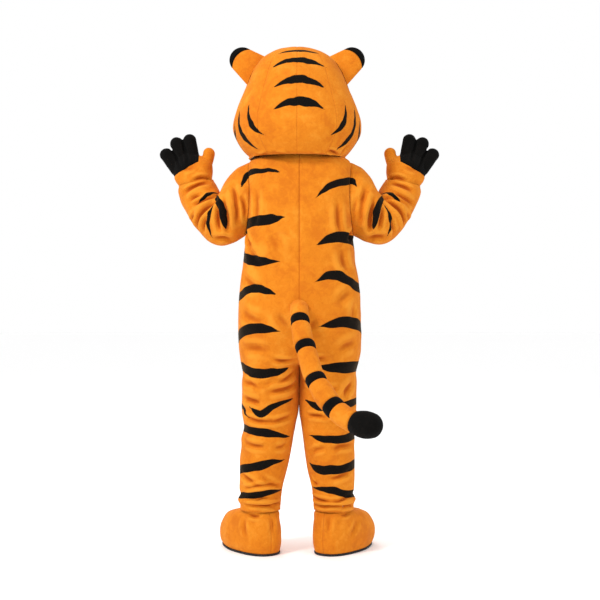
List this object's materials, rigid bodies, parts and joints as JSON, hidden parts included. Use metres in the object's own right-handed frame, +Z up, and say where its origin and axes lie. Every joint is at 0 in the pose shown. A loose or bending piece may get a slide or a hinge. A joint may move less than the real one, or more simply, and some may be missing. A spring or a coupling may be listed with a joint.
{
  "type": "tiger mascot costume",
  "caption": "Striped plush tiger costume set, worn hollow with raised arms: head, suit with tail, gloves and boots.",
  "frame": {"origin": "between the wearer's shoulders, which carry the costume, 1.490 m above the soles", "axes": "+Z up, -Y the way the costume faces, +X its left side"},
  "size_m": [1.0972, 0.8912, 1.943],
  "materials": {
    "orange_plush": "short-pile plush, orange with black stripes, soft nap",
    "black_plush": "short-pile plush, black",
    "cream_plush": "short-pile plush, cream",
    "nose_cloth": "smooth stuffed cloth",
    "eye_mesh": "fine dark see-through mesh over a dome",
    "sole_rubber": "matt black sole sheet"
  },
  "bodies": {
    "root": {"head_back_left": "orange_plush", "head_back_right": "orange_plush", "head_side_left": "orange_plush", "head_side_right": "orange_plush", "head_face": "orange_plush", "ear_left_base": "orange_plush", "ear_right_base": "orange_plush", "suit_back_left": "orange_plush", "suit_back_right": "orange_plush", "suit_front_left": "orange_plush", "suit_front_right": "orange_plush", "sleeve_left": "orange_plush", "sleeve_right": "orange_plush", "glove_left_hand": "orange_plush", "glove_right_hand": "orange_plush", "boot_left_lateral": "orange_plush", "boot_left_medial": "orange_plush", "boot_right_lateral": "orange_plush", "boot_right_medial": "orange_plush", "tail_root": "orange_plush", "tail_length_1": "orange_plush", "tail_length_2": "orange_plush", "tail_length_3": "orange_plush", "tail_length_4": "orange_plush", "ear_left_tip": "black_plush", "ear_right_tip": "black_plush", "glove_left_fingers": "black_plush", "glove_right_fingers": "black_plush", "tail_band_1": "black_plush", "tail_band_2": "black_plush", "tail_band_3": "black_plush", "tail_band_4": "black_plush", "tail_tip": "black_plush", "muzzle_left": "cream_plush", "muzzle_right": "cream_plush", "chin": "cream_plush", "nose": "nose_cloth", "eye_left": "eye_mesh", "eye_right": "eye_mesh", "boot_left_sole": "sole_rubber", "boot_right_sole": "sole_rubber"}
  },
  "joints": []
}
